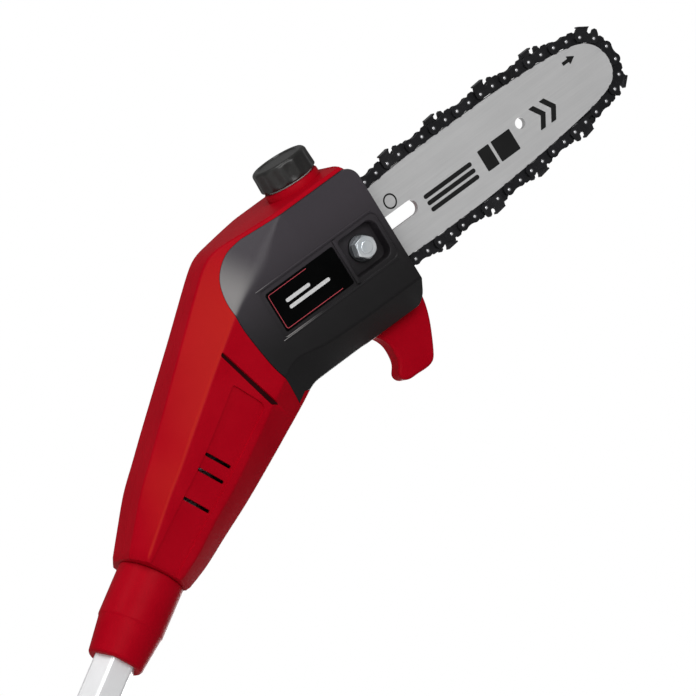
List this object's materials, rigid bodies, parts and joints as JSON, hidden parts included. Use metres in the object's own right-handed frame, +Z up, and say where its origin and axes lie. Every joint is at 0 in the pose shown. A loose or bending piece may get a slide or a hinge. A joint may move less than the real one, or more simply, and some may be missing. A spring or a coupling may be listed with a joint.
{
  "type": "telescoping pole saw",
  "caption": "Battery telescoping pole saw: bent saw head with guide bar and chain, hexagonal sliding pole with clamp lever, foam fore grip, rear handle and slide-on battery.",
  "frame": {"origin": "centre of the battery pack's flat rear face, on the pole's axis", "axes": "+Z up along the pole's axis to the saw head, the guide bar leans from +Z towards +X, the sprocket cover faces -Y"},
  "size_m": [0.2066, 0.074, 1.5456],
  "materials": {
    "red_plastic": "fine moulded texture, satin",
    "red_lever": "fine moulded texture, satin",
    "black_plastic": "fine moulded texture, matt",
    "gloss_black": "gloss",
    "nylon": "matt",
    "aluminium": "satin anodised",
    "foam": "closed-cell foam",
    "rubber": "matt",
    "zinc": "zinc plated",
    "steel": "ground",
    "bar_steel": "satin",
    "chain_steel": "blackened",
    "rivet_steel": "polished",
    "cast_alloy": "die cast"
  },
  "bodies": {
    "rear": {"outer_tube": "aluminium", "clamp_collar": "black_plastic", "clamp_pin": "steel", "front_grip": "foam", "strap_bracket": "black_plastic", "strap_screw": "zinc", "handle_left": "red_plastic", "handle_right": "red_plastic", "handle_screws": "steel", "trigger_pin": "steel", "trigger_spring": "steel", "switch_body": "nylon", "control_board": "nylon", "battery_terminals": "nylon"},
    "upper": {"housing_right": "red_plastic", "housing_left": "red_plastic", "sprocket_cover": "black_plastic", "cover_label_plate": "gloss_black", "head_collar": "red_plastic", "inner_tube": "aluminium", "inner_tube_bush": "nylon", "guide_bar": "bar_steel", "chain_drive_links": "chain_steel", "chain_tie_straps": "chain_steel", "chain_cutters": "chain_steel", "chain_rivets": "rivet_steel", "shaft_bearings": "steel", "motor_can": "steel", "gear_case": "cast_alloy", "bar_stud": "zinc", "oil_tank": "nylon", "oil_pump": "nylon", "branch_hook": "red_plastic", "head_screws": "steel"},
    "motor": {"motor_shaft": "steel", "motor_rotor": "steel", "motor_fan": "nylon", "motor_pinion": "steel"},
    "sprocket": {"drive_sprocket": "steel", "sprocket_shaft": "steel", "bevel_gear": "steel", "pump_worm": "nylon"},
    "cap_seal": {"oil_cap_seal": "rubber"},
    "oil_cap": {"oil_cap": "black_plastic"},
    "bar_nut": {"bar_nut": "zinc", "bar_washer": "zinc"},
    "tension_screw": {"tension_screw": "zinc"},
    "tension_pin": {"tension_pin": "steel"},
    "clamp_lever": {"clamp_lever": "red_lever"},
    "strap_ring": {"strap_ring": "zinc"},
    "trigger": {"trigger": "black_plastic"},
    "lock_off_button": {"lock_off_button": "black_plastic"},
    "battery": {"battery_pack": "black_plastic"},
    "battery_latch": {"battery_latch": "red_plastic"}
  },
  "joints": [
    {"name": "pole_slide", "type": "slide", "parent": "rear", "child": "upper", "axis": [0, 0, 1], "range_m": [0, 0.46]},
    {"name": "clamp_lever_hinge", "type": "hinge", "parent": "rear", "child": "clamp_lever", "pos_m": [-0.029, 0, 0.93], "axis": [0, 1, 0], "range_deg": [0, 100]},
    {"name": "strap_ring_swing", "type": "hinge", "parent": "rear", "child": "strap_ring", "pos_m": [-0.0275, 0, 0.472], "axis": [0, 1, 0], "range_deg": [-10, 165]},
    {"name": "motor_spin", "type": "hinge", "parent": "upper", "child": "motor", "pos_m": [0, 0, 1.2], "axis": [0, 0, 1], "continuous": true},
    {"name": "sprocket_spin", "type": "hinge", "parent": "upper", "child": "sprocket", "pos_m": [0, 0, 1.2995], "axis": [0, 1, 0], "continuous": true},
    {"name": "oil_cap_lift", "type": "slide", "parent": "upper", "child": "cap_seal", "axis": [-0.866, 0, 0.5], "range_m": [0, 0.04]},
    {"name": "oil_cap_turn", "type": "hinge", "parent": "cap_seal", "child": "oil_cap", "pos_m": [-0.02508, 0, 1.37655], "axis": [-0.866, 0, 0.5], "continuous": true},
    {"name": "bar_nut_turn", "type": "hinge", "parent": "upper", "child": "bar_nut", "pos_m": [0.0316, -0.026, 1.35052], "axis": [0, -1, 0], "continuous": true},
    {"name": "tension_screw_turn", "type": "hinge", "parent": "upper", "child": "tension_screw", "pos_m": [0.01939, -0.0044, 1.36058], "axis": [0.5, 0, 0.866], "range_deg": [0, 720]},
    {"name": "tension_pin_slide", "type": "slide", "parent": "upper", "child": "tension_pin", "axis": [0.5, 0, 0.866], "range_m": [0, 0.0016]},
    {"name": "trigger_pull", "type": "hinge", "parent": "rear", "child": "trigger", "pos_m": [0.0075, 0, 0.264], "axis": [0, 1, 0], "range_deg": [0, 6], "stiffness_Nm_per_rad": 1.5, "springref_deg": -5.73},
    {"name": "lock_off_press", "type": "slide", "parent": "rear", "child": "lock_off_button", "axis": [1, 0, 0], "range_m": [0, 0.0038], "stiffness_N_per_m": 400, "springref_m": -0.002},
    {"name": "battery_slide", "type": "slide", "parent": "rear", "child": "battery", "axis": [1, 0, 0], "range_m": [0, 0.115]},
    {"name": "battery_latch_press", "type": "slide", "parent": "battery", "child": "battery_latch", "axis": [1, 0, 0], "range_m": [0, 0.003], "stiffness_N_per_m": 500, "springref_m": -0.002}
  ],
  "couplings": [
    {"joint": "sprocket_spin", "follows": "motor_spin", "ratio": 0.33333},
    {"joint": "tension_screw_turn", "follows": "tension_pin_slide", "rad_per_m": 7854}
  ]
}
